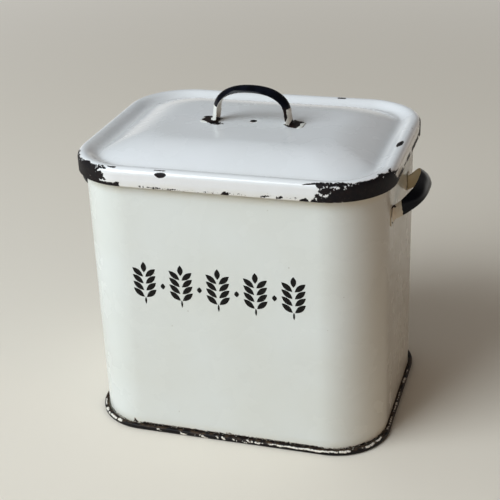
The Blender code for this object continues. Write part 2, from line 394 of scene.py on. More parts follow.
def selectOnly(piece, wantedEdge=None, wantedFace=None):
    bpy.ops.mesh.select_mode(type="EDGE" if wantedEdge else "FACE")
    bpy.ops.mesh.select_all(action="DESELECT")
    mesh = bmesh.from_edit_mesh(piece.data)
    for element in mesh.edges if wantedEdge else mesh.faces:
        if (wantedEdge or wantedFace)(element):
            element.select_set(True)
    bmesh.update_edit_mesh(piece.data)


def startOutline(name, halfX, halfY, radius, z, spacing, filled):
    # A rounded rectangle with even points, left in edit mode.
    bpy.ops.object.select_all(action="DESELECT")
    bpy.ops.mesh.primitive_plane_add(size=2, location=(0, 0, z))
    piece = bpy.context.object
    piece.name = name
    piece.data.name = name
    piece.scale = (halfX, halfY, 1)
    bpy.ops.object.transform_apply()
    bpy.ops.object.mode_set(mode="EDIT")
    bpy.ops.mesh.select_mode(type="EDGE")
    bpy.ops.mesh.select_all(action="SELECT")
    bpy.ops.mesh.bevel(offset=radius, segments=round(radius * quarter / spacing), affect="VERTICES")
    bpy.ops.mesh.select_all(action="SELECT")
    bpy.ops.mesh.delete(type="ONLY_FACE")
    for length in (2 * (halfX - radius), 2 * (halfY - radius)):
        selectOnly(piece, wantedEdge=lambda edge: abs(edge.calc_length() - length) < spacing)
        bpy.ops.mesh.subdivide(number_cuts=round(length / spacing) - 1)
    bpy.ops.mesh.select_all(action="SELECT")
    if filled:
        bpy.ops.mesh.edge_face_add()
        bpy.ops.mesh.select_mode(type="FACE")
        if bmesh.from_edit_mesh(piece.data).faces[:][0].normal.z < 0:
            bpy.ops.mesh.flip_normals()
    return piece


def growRings(section, middle=(0, 0, 0)):
    # Extrudes what is selected from ring to ring: (halfX, halfY, z) each.
    for (x, y, z), (nextX, nextY, nextZ) in zip(section, section[1:]):
        bpy.ops.mesh.extrude_region_move()
        bpy.ops.transform.resize(value=(nextX / x, nextY / y, 1), center_override=middle)
        bpy.ops.transform.translate(value=(0, 0, nextZ - z))


def besideWall(offset, z):
    # A ring at one distance from the outside of the wall.
    return binSizes["halfWidth"] + offset, binSizes["halfDepth"] + offset, z


def pastWall(x, y):
    # How far a point lies outside the wall, or inside it when negative.
    radius = binSizes["cornerRadius"]
    outX = abs(x) - binSizes["halfWidth"] + radius
    outY = abs(y) - binSizes["halfDepth"] + radius
    if outX > 0 and outY > 0:
        return math.hypot(outX, outY) - radius
    return max(outX, outY) - radius


def applyModifier(piece, kind, **settings):
    modifier = piece.modifiers.new(kind.lower(), kind)
    for name, value in settings.items():
        setattr(modifier, name, value)
    bpy.context.view_layer.objects.active = piece
    bpy.ops.object.modifier_apply(modifier=modifier.name)


def finishSheet(piece, **thickening):
    # Gives the bent sheet its thickness and lets the enamel run over its edges.
    bpy.ops.object.mode_set(mode="OBJECT")
    applyModifier(piece, "SOLIDIFY", thickness=binSizes["sheet"], use_even_offset=True, **thickening)
    applyModifier(piece, "BEVEL", width=binSizes["enamelEdge"], segments=binSizes["edgeSegments"],
                  limit_method="ANGLE", angle_limit=binSizes["edgeAngle"], use_clamp_overlap=False)
    bpy.ops.object.select_all(action="DESELECT")
    piece.select_set(True)
    bpy.ops.object.shade_smooth_by_angle(angle=binSizes["smoothAngle"])


def pointFacesOut(piece, near, way):
    # Turns all faces round if the one nearest to a place doesn't look the given way.
    bpy.ops.mesh.select_mode(type="FACE")
    bpy.ops.mesh.select_all(action="SELECT")
    bpy.ops.mesh.normals_make_consistent(inside=False)
    mesh = bmesh.from_edit_mesh(piece.data)
    nearest = min(mesh.faces, key=lambda face: (face.calc_center_median() - Vector(near)).length)
    if nearest.normal.dot(Vector(way)) < 0:
        bpy.ops.mesh.flip_normals()


def arcOf(centre, radius, start, end, steps):
    # Points of an arc in a section, the first one left out.
    turns = [math.radians(start + (end - start) * step / steps) for step in range(1, steps + 1)]
    return [(centre[0] + radius * math.cos(turn), centre[1] + radius * math.sin(turn)) for turn in turns]


def settle(piece, body, slotName, *nodes):
    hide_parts(*nodes)
    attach(piece, body)


# Wear: chips laid on a piece as attributes

wearSizes = {
    "pixelStep": 1.2,           # between the dabs of a stroke, in pixels of the photo
    "placeStep": 1.5,           # the same in mm, for a stroke of places
    "clear": -20.0,             # mm, the wear of a place far from every chip
    "wrap": -0.4,               # how far an outline reaches round the edge of what the photo shows
}


def chip(*points, reach=None, fray=0):
    # A closed outline in pixels of the photo, or with a reach in mm a stroke, whose points may be
    # places in mm as well. Fray is how ragged the edge is.
    return {"points": points, "reach": reach, "fray": fray}


def layAttribute(piece, name, values):
    attribute = piece.data.attributes.new(name, "FLOAT", "POINT")
    attribute.data.foreach_set("value", np.array(values, np.float32))


def dabsOn(piece, stroke, camera):
    # Points on the surface, in mm, along a stroke.
    path = [Vector(point) for point in stroke["points"]]
    inPhoto = len(path[0]) == 2
    step = wearSizes["pixelStep" if inPhoto else "placeStep"]
    if len(path) == 1:
        path = path * 2
    dabs = []
    for start, end in zip(path, path[1:]):
        count = max(math.ceil((end - start).length / step), 1)
        for index in range(count + 1):
            point = start.lerp(end, index / count)
            if inPhoto:
                hit, place, _, _ = piece.ray_cast(*sightLine(camera, point))
            else:
                hit, place, _, _ = piece.closest_point_on_mesh(point * mm)
            if hit:
                dabs.append(place / mm)
    return dabs


def depthInside(x, y, outline):
    # How far each pixel lies inside a closed outline, negative outside it.
    nearest = np.full(len(x), 1e6)
    inside = np.zeros(len(x), bool)
    for (startX, startY), (endX, endY) in zip(outline, outline[1:] + outline[:1]):
        runX, runY = endX - startX, endY - startY
        share = np.clip(((x - startX) * runX + (y - startY) * runY) / (runX ** 2 + runY ** 2), 0, 1)
        nearest = np.minimum(nearest, np.hypot(x - startX - share * runX, y - startY - share * runY))
        if runY:
            inside ^= ((startY > y) != (endY > y)) & (x < startX + (y - startY) * runX / runY)
    return np.where(inside, nearest, -nearest)


def depthOn(piece, places, stroke, camera):
    # How deep each vertex lies in a stroke or an outline, in mm.
    if stroke["reach"] is not None:
        depth = np.full(len(places), wearSizes["clear"])
        for dab in dabsOn(piece, stroke, camera):
            away = np.linalg.norm(places / mm - np.array(dab), axis=1)
            depth = np.maximum(depth, stroke["reach"] - away)
        return depth
    eye = np.array(camera.matrix_world.translation)
    seen = (places - eye) @ np.array(camera.matrix_world.to_3x3())
    scale = photoCamera["focalPixels"] / -seen[:, 2]
    middle = photoCamera["photoPixels"] / 2
    depth = depthInside(middle + seen[:, 0] * scale, middle - seen[:, 1] * scale, stroke["points"])
    normals = np.empty(len(places) * 3)
    piece.data.vertices.foreach_get("normal", normals)
    facing = np.sum(normals.reshape(-1, 3) * (eye - places), axis=1) / np.linalg.norm(eye - places, axis=1)
    pixelSize = photoCamera["distance"] / photoCamera["focalPixels"] / mm
    return np.where(facing > wearSizes["wrap"], depth * pixelSize, wearSizes["clear"])


def layWear(piece, strokes, camera, islands=()):
    places = np.array([tuple(vertex.co) for vertex in piece.data.vertices])
    wear = np.full(len(places), wearSizes["clear"])
    fray = np.zeros(len(places))
    for stroke in strokes:
        depth = depthOn(piece, places, stroke, camera)
        fray = np.where(depth > wear, stroke["fray"], fray)
        wear = np.maximum(wear, depth)
    for stroke in islands:
        wear = np.minimum(wear, -depthOn(piece, places, stroke, camera))
    layAttribute(piece, "wear", wear)
    layAttribute(piece, "fray", fray)


# The lid: one pressing with a skirt, a round bead, a valley, a slope and a flat top

lidSizes = {
    "skirt": 13 * mm,
    "skirtRows": 9,
    "bead": 7 * mm,             # outer bend between the skirt and the top
    "beadRows": 12,
    "valleyWidth": 16.5 * mm,
    "valleyDrop": 6.5 * mm,
    "valleyRows": 12,
    "valleyDustAndShade": 0.12,         # how far the dust and the painted shade hide the white along the valley
    "slopeRun": 58 * mm,
    "slopeRows": 14,
    "slopeCrowding": 1.25,      # how much closer its rows lie at its foot
    "creaseShare": 0.05,        # of the slope, over which its foot bends up
    "overhang": 7.5 * mm,       # outside of the skirt past the wall
    "spacing": 1.9 * mm,        # between the columns round the lid
    "ventRadius": 3 * mm,
    "ventRing": 9 * mm,         # ring round the vent where the rings turn circular
    "ventSetback": 4 * mm,      # how far the vent lies behind the lid's middle
    "topRings": 12,
}

# Outlines of the larger chips and strokes for the small ones.
lidChips = {
    "frontLeft": chip((74, 149.5), (80.6, 149.6), (80.9, 151), (79.3, 152), (79.2, 153.2), (81.1, 154.2),
        (79.6, 156.2), (80.4, 157.2), (82.8, 158), (84.2, 159.6), (90.8, 160.9), (89.9, 162.3),
        (91.5, 163.5), (95, 164.3), (103.5, 165), (104.2, 166.8), (107, 168.3), (104.5, 169.1),
        (100.4, 168.1), (96.9, 169.8), (97.2, 171), (100, 170.3), (101.2, 172), (103.9, 174.2),
        (102.6, 176), (106.9, 180), (103.5, 180), (98.2, 178.2), (100, 180.6), (111.5, 182.2), (113, 183),
        (115.2, 181.7), (118.6, 181.8), (119.6, 188), (100, 188), (86, 181), (74, 177), fray=0.45),
    "frontLeftFinger": chip((106, 165.2), (110.8, 166), (116, 166.4), (115.7, 167.4), (112, 168.2),
        (109.5, 167), (107, 166.5), fray=0.3),
    "frontOval": chip((153.6, 174.6), (156, 172.8), (160.5, 172.6), (164.8, 173.4), (166.3, 175.6),
        (163.4, 177.8), (159, 178.3), (156.2, 177), fray=0.1),
    "frontOvalLine": chip((154.5, 170.2), (165, 171), reach=0.8, fray=0.15),
    "frontSpeck": chip((183.5, 180.5), reach=0.7, fray=0.1),
    "edgeNickA": chip((221, 194), (222.5, 191.6), (225.5, 191.2), (228, 193), (228.6, 195.5), (228, 198),
        (221, 198), fray=0.3),
    "edgeNickB": chip((261, 197), (266, 196), reach=1, fray=0.8),
    "edgeNickC": chip((277, 198.5), (281.5, 197), reach=1.2, fray=0.8),
    "edgeNickD": chip((299.3, 200), (300.5, 198.4), (302.4, 199.6), (303.6, 198.3), (305.6, 197.4),
        (307.2, 199.2), (308.6, 199.6), (310, 203), (299, 203), fray=0.4),
    "cornerTail": chip((301.8, 184.2), (308, 183.4), (317, 182.5), (317, 184.7), (309, 184.9), (302, 185.2),
        fray=0.15),
    "corner": chip((316, 182.9), (322.9, 182.1), (325, 182.9), (330, 182.4), (333, 183.2), (336.4, 182.3),
        (349.3, 182.9), (355, 183.9), (356.8, 182.5), (362.9, 181.4), (370, 180), (376.8, 177.5),
        (378.2, 176.1), (377.1, 174.4), (381.8, 173.2), (385, 173.6), (388.6, 172.3), (387.9, 169.3),
        (390.7, 168), (391.2, 170.6), (395.7, 170.7), (398.4, 168.6), (396, 173.6), (396.2, 175.6),
        (398, 178), (399.4, 177.9), (401.6, 173.6), (403.4, 168.4), (407, 169), (405, 178), (397, 190),
        (380, 199), (365, 203), (311, 204), (310.4, 200.6), (314.4, 197.6), (315, 194), (318.3, 194.2),
        (320.5, 196), (322.4, 196), (322, 194.6), (318.6, 192.6), (317.3, 191), (319.4, 190),
        (318.8, 188.6), (316.6, 188.2), (315.6, 185.2), fray=0.55),
    "rightOval": chip((395.8, 146.2), (397.4, 143.2), (400.6, 141.4), (403.4, 140.6), (404, 142.4),
        (402.2, 145), (399.6, 146.2), (397, 147.4), fray=0.1),
    "rightSpeck": chip((412, 128.3), reach=0.8, fray=0.1),
    "rightCorner": chip((418.4, 113.4), (419.4, 118), (419.5, 126), (419, 132), (417.4, 135.4), (430, 138),
        (430, 112), fray=0.25),
    "rightEdgeA": chip((174.5, 16, 307), (174.5, 54, 307), reach=2.4, fray=0.35),
    "rightEdgeB": chip((174.5, -16, 307), (174.5, 3, 307), reach=2.6, fray=0.3),
    "rightEdgeC": chip((174.5, -33, 307), (174.5, -22, 307), reach=1.4, fray=0.3),
    "rightEdgeD": chip((174.5, -69, 307), (174.5, -43, 307), reach=2.5, fray=0.4),
    "ventRim": chip((3, 4, 331.9), (2.1, 6.1, 331.9), (0, 7, 331.9), (-2.1, 6.1, 331.9), (-3, 4, 331.9),
        (-2.1, 1.9, 331.9), (0, 1, 331.9), (2.1, 1.9, 331.9), (3, 4, 331.9), reach=0.95, fray=0),
    "backNick": chip((338.5, 98), (345, 98.3), reach=1.5, fray=0.3),
    "leftFoot": chip((201.8, 119.5), (204.5, 118.2), (208, 116.6), (211.5, 116.6), (219.5, 117),
        (222, 116.8), (223.6, 118.6), (219.4, 120.4), (218.2, 121.2), (220.5, 122.8), (223.8, 122.6),
        (223.8, 123.9), (219.5, 124.5), (216.5, 125), (209.6, 123.8), (208.6, 122), (206, 120.8),
        fray=0.45),
    "rightFoot": chip((282.4, 123.2), (285.5, 124.2), (288.6, 124.6), (290.3, 123.6), (293, 120.2),
        (297, 119.2), (299.5, 120.4), (301.6, 122.8), (299, 125.6), (296, 126.8), (290, 126.4),
        (285.6, 126), (282.6, 124.6), fray=0.45),
    "rightFootSpeckle": chip((281, 122), (283.5, 121.5), reach=0.2, fray=0.9),
    "frontLowEdge": chip((137, 186.5), (152, 187.8), (166, 189), (175, 189.8), reach=0.7, fray=1),
    "frontLowEdgeFar": chip((178, 190.1), (198, 191.7), (220, 193.3), (298, 198.6), reach=0.2, fray=1),
}

# On the sides that the photo doesn't show.
lidHiddenChips = {
    "rightEdgeFront": chip((174, -62, 303), (174, -30, 303), reach=0.9, fray=0.7),
    "rightEdgeBack": chip((174, 2, 303), (174, 66, 303), reach=1, fray=0.8),
    "backRightEdge": chip((168, 100, 303), (150, 121, 303), reach=1.4, fray=0.8),
    "backEdge": chip((60, 138, 303), (-20, 138, 303), reach=-0.1, fray=0.9),
    "backLeftCorner": chip((-150, 125, 304), (-166, 107, 304), reach=4.2, fray=1),
    "backOval": chip((-38, 138, 313), (-33, 138, 313), reach=2.2, fray=0.2),
    "leftEdge": chip((-174, 50, 303), (-174, -40, 303), reach=0.2, fray=0.9),
    "leftSpot": chip((-173, 12, 318), reach=1.6, fray=0.3),
}

# White left standing in the larger chips.
lidIslands = {
    "frontLeftA": chip((95.8, 167.4), (97, 165.8), reach=0.8),
    "frontLeftB": chip((101.2, 166.2), (102, 166.5), reach=0.5),
    "frontLeftC": chip((82.3, 159.3), reach=0.7),
    "frontLeftD": chip((79.3, 160.4), reach=0.6),
    "frontLeftE": chip((90, 175.4), reach=0.4),
    "cornerA": chip((330, 188.4), (332, 187.1), (336, 186.5), (339.6, 187.8), (339, 189.1), (336.2, 188.9),
        (334.5, 187.8)),
    "cornerB": chip((322.8, 196), (326, 194.8), (329.6, 194.6), (326.5, 197.8), (323.4, 197.4)),
    "cornerC": chip((326.8, 187), reach=0.8),
    "cornerD": chip((322.6, 188.6), (324, 187.4), reach=0.5),
    "cornerE": chip((348.5, 185), reach=0.9),
    "cornerF": chip((345.3, 187), (345.6, 188.2), reach=0.8),
    "cornerG": chip((351.6, 185.6), reach=0.6),
    "cornerH": chip((358.4, 183.8), reach=0.7),
    "cornerI": chip((316.2, 199), reach=0.9),
    "cornerJ": chip((331.2, 192), (332.6, 191), reach=0.4),
    "cornerK": chip((383.2, 177.2), reach=0.5),
}


def makeLid(enamel, camera):
    look = lidSizes
    low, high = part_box("lid_shell")
    beadZ = low.z + look["skirt"]
    radius = binSizes["cornerRadius"] + look["overhang"]
    lid = startOutline("lidShell", high.x, high.y, radius, beadZ, look["spacing"], filled=True)

    # The top is inset and pressed from the bead through the valley.
    selectOnly(lid, wantedFace=lambda face: face.normal.z != 0)
    places = [(look["bead"] * (1 - math.cos(quarter * row / look["beadRows"])),
               beadZ + look["bead"] * math.sin(quarter * row / look["beadRows"]))
              for row in range(look["beadRows"] + 1)]
    for row in range(1, look["valleyRows"] + 1):
        share = row / look["valleyRows"]
        drop = look["valleyDrop"] * (1 - math.cos(math.pi * share)) / 2
        places.append((look["bead"] + look["valleyWidth"] * share, beadZ + look["bead"] - drop))
    for (inset, z), (nextInset, nextZ) in zip(places, places[1:]):
        bpy.ops.mesh.inset(thickness=nextInset - inset, depth=nextZ - z, use_even_offset=True)

    # The slope and the flat top are drawn in ring by ring, down to the vent hole.
    inset, valleyZ = places[-1]
    section = [(high.x - inset, high.y - inset, valleyZ)]
    for row in range(1, look["slopeRows"] + 1):
        share = (row / look["slopeRows"]) ** look["slopeCrowding"]
        rise = math.sin(quarter * share) * (1 - math.exp(-share / look["creaseShare"]))
        run = look["slopeRun"] * share
        section.append((section[0][0] - run, section[0][1] - run, valleyZ + (high.z - valleyZ) * rise))
    topX, topY, topZ = section[-1]
    ventRing, ventRadius = look["ventRing"], look["ventRadius"]
    for ring in range(1, look["topRings"] + 1):
        share = ring / look["topRings"]
        section.append((topX + (ventRing - topX) * share, topY + (ventRing - topY) * share, topZ))
    slope = look["slopeRows"] + 1
    vent = (0, look["ventSetback"], topZ)
    growRings(section[:slope])
    growRings(section[slope - 1:], (0, look["ventSetback"] / (1 - ventRing / topY), 0))
    bpy.ops.transform.tosphere(value=1, center_override=vent)
    growRings([(ventRing, ventRing, topZ), (ventRadius, ventRadius, topZ)], vent)
    bpy.ops.mesh.delete(type="FACE")

    # The skirt hangs from the outer edge of the bead.
    selectOnly(lid, wantedEdge=lambda edge: edge.is_boundary and edge.verts[0].co.xy.length > high.y / 2)
    rows = look["skirtRows"]
    growRings([(high.x, high.y, beadZ - look["skirt"] * row / rows) for row in range(rows + 1)])
    pointFacesOut(lid, (0, high.y / 2, topZ), (0, 0, 1))
    finishSheet(lid, offset=-1)
    lid.data.materials.append(enamel)
    # Dust and painted shade along the valley, strongest at its bottom.
    dustAndShade = []
    for vertex in lid.data.vertices:
        inset = look["overhang"] - pastWall(*vertex.co.xy)
        off = abs(inset - look["bead"] - look["valleyWidth"]) / look["valleyWidth"]
        dustAndShade.append(max(1 - off, 0) ** 2 * look["valleyDustAndShade"])
    layAttribute(lid, "valley", dustAndShade)
    layWear(lid, [*lidChips.values(), *lidHiddenChips.values()], camera, lidIslands.values())
    settle(lid, "lid", "white_enamel", "lid_shell")
    return lid


# The wall: one sheet, hooked outwards at the foot and rolled round a wire at the rim

wallSizes = {
    "hookOffset": 2.8 * mm,     # middle of the sheet, from the outside of the wall
    "hookTop": 4.7 * mm,
    "hookFloor": 1.8 * mm,
    "hookBend": 0.5 * mm,
    "rollOffset": 1.9 * mm,     # centre of the roll
    "rollRadius": 2.4 * mm,     # to the middle of the sheet
    "rollOutside": 2.9 * mm,
    "rollTurn": 300,            # degrees
    "rollRows": 20,
    "rows": 56,
    "rowCrowding": 1.4,         # how much closer they lie near the foot, where the enamel is worn
    "spacing": 3 * mm,
}

wallChips = {
    "footDot": chip((135.4, 418.2), (135.4, 420), (136.6, 420.8), reach=1.4, fray=0.1),
    "handleDotA": chip((387.6, 221), (387.9, 222.5), reach=1.5, fray=0.2),
    "handleDotB": chip((391.4, 220.6), (391.4, 221.8), reach=1.4, fray=0.2),
    "footFront": chip((-105, -131, 6), (105, -131, 6), reach=2.1, fray=0.7),
    "footFrontSpike": chip((226.5, 433.4), (228.5, 432.6), reach=1.2, fray=0.4),
    "footFrontSpikeLeft": chip((157, 424.6), (161, 425), reach=1, fray=0.5),
    "footRightCorner": chip((105, -131, 5.6), (149, -113, 5.6), (167, -69, 5.6), reach=1.7, fray=0.6),
    "footRight": chip((167, -69, 5.6), (167, 69, 5.6), reach=1.4, fray=0.6),
    "footBackCorner": chip((167, 69, 6), (149, 113, 6), (105, 131, 6), reach=1.6, fray=0.6),
    "footBack": chip((105, 131, 6), (-105, 131, 6), reach=1.7, fray=0.7),
    "footFarCorner": chip((-105, 131, 6), (-149, 113, 6), (-167, 69, 6), reach=1.7, fray=0.6),
    "footLeft": chip((-167, 69, 6), (-167, -69, 6), reach=1.5, fray=0.6),
    "footLeftCorner": chip((-167, -69, 5.6), (-149, -113, 5.6), (-105, -131, 6), reach=1.3, fray=0.5),
    "rimWornFront": chip((-60, -134, 320), (20, -134, 320), reach=-0.2, fray=0.9),
    "rimWornRight": chip((169, -20, 321), (169, 40, 321), reach=0, fray=0.9),
    "rimWornBack": chip((90, 133, 321), (40, 133, 321), reach=0.4, fray=0.9),
    "backBottomDot": chip((52, 131, 40), reach=1.8, fray=0.4),
    "leftDot": chip((-167, 22, 96), (-167, 25, 95), reach=1.5, fray=0.4),
}


def makeWall(enamel, camera):
    look = wallSizes
    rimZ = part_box("body_wall")[1].z - look["rollOutside"]
    offset, bend, middle = look["hookOffset"], look["hookBend"], -binSizes["sheet"] / 2
    section = [besideWall(offset, look["hookTop"]), besideWall(offset, look["hookFloor"] + bend),
               besideWall(offset - bend, look["hookFloor"]), besideWall(middle + bend, look["hookFloor"]),
               besideWall(middle, look["hookFloor"] + bend)]
    foot = section[-1][2]
    for row in range(1, look["rows"] + 1):
        share = (row / look["rows"]) ** look["rowCrowding"]
        section.append(besideWall(middle, foot + (rimZ - foot) * share))
    roll = arcOf((look["rollOffset"], rimZ), look["rollRadius"], 180, 180 - look["rollTurn"],
                 look["rollRows"])
    section += [besideWall(*point) for point in roll]

    radius = binSizes["cornerRadius"] + offset
    wall = startOutline("binWall", *section[0][:2], radius, section[0][2], look["spacing"], filled=False)
    growRings(section)
    pointFacesOut(wall, (binSizes["halfWidth"], 0, rimZ / 2), (1, 0, 0))
    finishSheet(wall, offset=0)
    wall.data.materials.append(enamel)
    layWear(wall, wallChips.values(), camera)
    settle(wall, "bin", "cream_enamel", "body_wall")
    return wall


# The base: a recessed panel whose edge folds up and over the wall's hook

baseSizes = {
    "panelZ": 5.5 * mm,         # middle of the sheet
    "wallOffset": -1.8 * mm,    # where the edge turns down inside the wall
    "floorZ": 0.5 * mm,
    "ringOffset": 4.1 * mm,     # outside of the folded ring
    "lipOffset": 0.3 * mm,
    "innerBend": 1 * mm,
    "bend": 1.8 * mm,
    "lipBend": 1.5 * mm,
    "bendRows": 6,
    "spacing": 1.3 * mm,
    "fleckRun": 17 * mm,        # length of the white left on the sides that the photo doesn't show
    "fleckHeight": 2 * mm,
    "fleckLess": 0.12,          # taken off, so that they lie apart
    "crumbShare": 0.4,          # strength of the finer noise that frays them
    "crumbScale": 2.3,
    "sliverEdge": 0.34,         # white at the edge of a sliver, and how fast it rises per mm into it
    "sliverRise": 0.5,
    "sliverFar": -2,            # mm outside of a sliver from which nothing changes
    "shownFrom": -20 * mm,      # how far towards the camera the photo's side of the ring starts
}

# White left on the ring: the reach of each stroke in mm, and its pixels in the photo.
seamSlivers = {
    "leftA": (0.8, (106.8, 398.5), (106.6, 404)), "leftB": (1.4, (107.4, 407.5), (108, 409.5)),
    "leftC": (0.9, (109.2, 412), (109.8, 412.8)), "leftD": (1.1, (111.5, 413.8), (114, 416.5), (116, 418)),
    "leftE": (1.4, (119, 419), (121, 420.3)), "frontA": (1, (158.3, 429.3), (160, 429.6)),
    "frontB": (1, (181, 432.8), (183, 433.8), (185, 434.6)),
    "frontC": (0.7, (186.7, 433.6), (187.6, 433.9)), "frontD": (0.3, (192, 434.4), (197, 435.2)),
    "frontE": (0.9, (200, 435), (202.5, 436.4), (205, 437.6), (208, 438.4)),
    "frontF": (0.6, (216.5, 436.6), (219, 438.2)), "frontG": (1, (222, 437.8), (224.5, 439)),
    "frontH": (0.7, (233.5, 439.6), (236, 440.6)), "frontI": (0.9, (243, 441.6), (246, 442.4)),
    "frontJ": (0.8, (247, 440.8), (250, 442.8)), "frontK": (0.7, (251.5, 441.6), (253.5, 443.2)),
    "frontL": (0.9, (256, 442.8), (259.5, 443.6)), "frontM": (0.5, (262, 443.2), (263, 443.8)),
    "frontN": (0.6, (268.5, 444.6), (275, 444)), "frontO": (0.7, (276.5, 445.4), (281, 446)),
    "frontP": (0.6, (281, 447), (286, 446)),
    "frontQ": (0.8, (287, 446.6), (293, 447.8), (299, 448.8), (304.5, 449.2)),
    "frontR": (0.9, (306.5, 449), (310, 450), (315, 451), (320, 451.4)),
    "cornerA": (0.7, (321.5, 451), (325, 451.4), (328.8, 451.8)),
    "cornerB": (0.8, (331, 451.4), (335, 452), (337.5, 453)),
    "cornerC": (1, (340, 452), (345, 452.2), (349.5, 451.2)),
    "cornerD": (0.7, (352.4, 449), (353.2, 448.7)), "cornerE": (0.5, (363, 447.4), (364, 447.2)),
    "cornerF": (1, (366.5, 447.4), (368.5, 446.4), (371.5, 445), (373.5, 443)),
    "cornerG": (0.9, (376.5, 441), (379, 440), (381, 437)), "rightA": (1, (387, 428.5), (388.3, 426.5)),
    "rightB": (0.6, (389.5, 424), (391, 420), (391.8, 416)), "rightC": (0.5, (393.5, 412), (395.5, 405.5)),
    "rightD": (1, (396, 404.5), (396.6, 402.5)), "rightE": (0.3, (397.2, 400), (399.2, 394), (401.2, 386)),
    "rightF": (1, (403.4, 382), (405, 378)), "rightG": (0.6, (406.7, 372), (407.5, 370)),
}


def makeBase(enamel, camera):
    look = baseSizes
    bend, rows = look["bend"], look["bendRows"]
    start, inner, lipBend = look["wallOffset"], look["innerBend"], look["lipBend"]
    points = [(start - inner, look["panelZ"])]
    points += arcOf((start - inner, look["panelZ"] - inner), inner, 90, 0, rows)
    points += arcOf((start + bend, look["floorZ"] + bend), bend, 180, 270, rows)
    points += arcOf((look["ringOffset"] - bend, look["floorZ"] + bend), bend, 270, 360, rows)
    points += arcOf((look["ringOffset"] - lipBend, look["panelZ"] - lipBend), lipBend, 0, 90, rows)
    points.append((look["lipOffset"], look["panelZ"]))
    section = [besideWall(*point) for point in points]

    radius = binSizes["cornerRadius"] + points[0][0]
    base = startOutline("basePan", *section[0][:2], radius, section[0][2], look["spacing"], filled=True)
    selectOnly(base, wantedEdge=lambda edge: edge.is_boundary)
    growRings(section)
    pointFacesOut(base, (binSizes["halfWidth"] + look["ringOffset"], 0, look["panelZ"] / 2), (1, 0, 0))
    finishSheet(base, offset=0)
    base.data.materials.append(enamel)

    # How much white is left on the ring: the slivers where the photo shows it, flecks drawn out
    # along it elsewhere. The panel inside the ring is white all over.
    places = np.array([tuple(vertex.co) for vertex in base.data.vertices])
    slivers = [chip(*points, reach=reach) for reach, *points in seamSlivers.values()]
    depths = np.max([depthOn(base, places, sliver, camera) for sliver in slivers], axis=0)
    azimuth = math.radians(photoCamera["azimuth"])
    white, inside = [], []
    for (x, y, z), depth in zip(places, depths):
        if x * math.sin(azimuth) - y * math.cos(azimuth) > look["shownFrom"]:
            white.append(look["sliverEdge"] + look["sliverRise"] * max(depth, look["sliverFar"]))
        else:
            spot = Vector((x / look["fleckRun"], y / look["fleckRun"], z / look["fleckHeight"]))
            crumbs = look["crumbShare"] * noise.noise(spot * look["crumbScale"])
            white.append(noise.noise(spot) + crumbs - look["fleckLess"])
        inside.append(min(max(1 - (pastWall(x, y) - look["wallOffset"]) / look["innerBend"], 0), 1))
    layAttribute(base, "white", white)
    layAttribute(base, "inside", inside)
    settle(base, "bin", "cream_enamel", "base_pan")
    return base


# The handles: pressed straps with a crowned back, bent out of one strip

strapSizes = {
    "bend": 3 * mm,
    "corner": 5 * mm,
    "seat": 0.8 * mm,           # top of a foot over what it is welded to
    "crownStart": 1.8 * mm,     # height over which a leg gains its full crown
    "cornerRows": 8,
    "footRows": 4,
    "bendRows": 8,
    "legRows": 5,
    "archRows": 64,
    "columns": 14,
}

lidHandleSizes = {
    "halfSpan": 44.8 * mm,
    "height": 42.5 * mm,        # flat top of the lid to the top of the handle
    "legHeight": 10.5 * mm,     # and to where the arch starts
    "power": 0.88,
    "width": 18 * mm,
    "crown": 6 * mm,
    "footSplay": 1.8 * mm,
    "footLength": 12 * mm,
    "footWidth": 21 * mm,
    "blackFrom": 18.6,          # mm above the lid, where the black starts
}

sideHandleSizes = {
    "halfSpan": 44.3 * mm,
    "height": 34.6 * mm,        # wall to the outermost line of the arch
    "legHeight": 5.9 * mm,
    "power": 0.69,
    "width": 17.5 * mm,
    "crown": 2.7 * mm,
    "footSplay": 1 * mm,
    "footLength": 13 * mm,
    "footWidth": 20.5 * mm,
    "footDrop": 60.7 * mm,      # rim to the middle line of the feet
    "rightForward": 10.4 * mm,  # how far each sits in front of the bin's middle
    "leftForward": 6.5 * mm,
    "tilt": math.radians(37.5),
    "twist": math.radians(46.5),
    "twistPower": 1.5,
    "blackFrom": 11.2,          # mm out from the wall, where the black starts
}


def between(start, end, rows):
    return [tuple(Vector(start).lerp(Vector(end), row / rows)) for row in range(1, rows + 1)]


def legShare(v):
    # 0 at a foot, 1 from where a leg has the arch's width and crown.
    return min((v - strapSizes["seat"]) / strapSizes["crownStart"], 1)


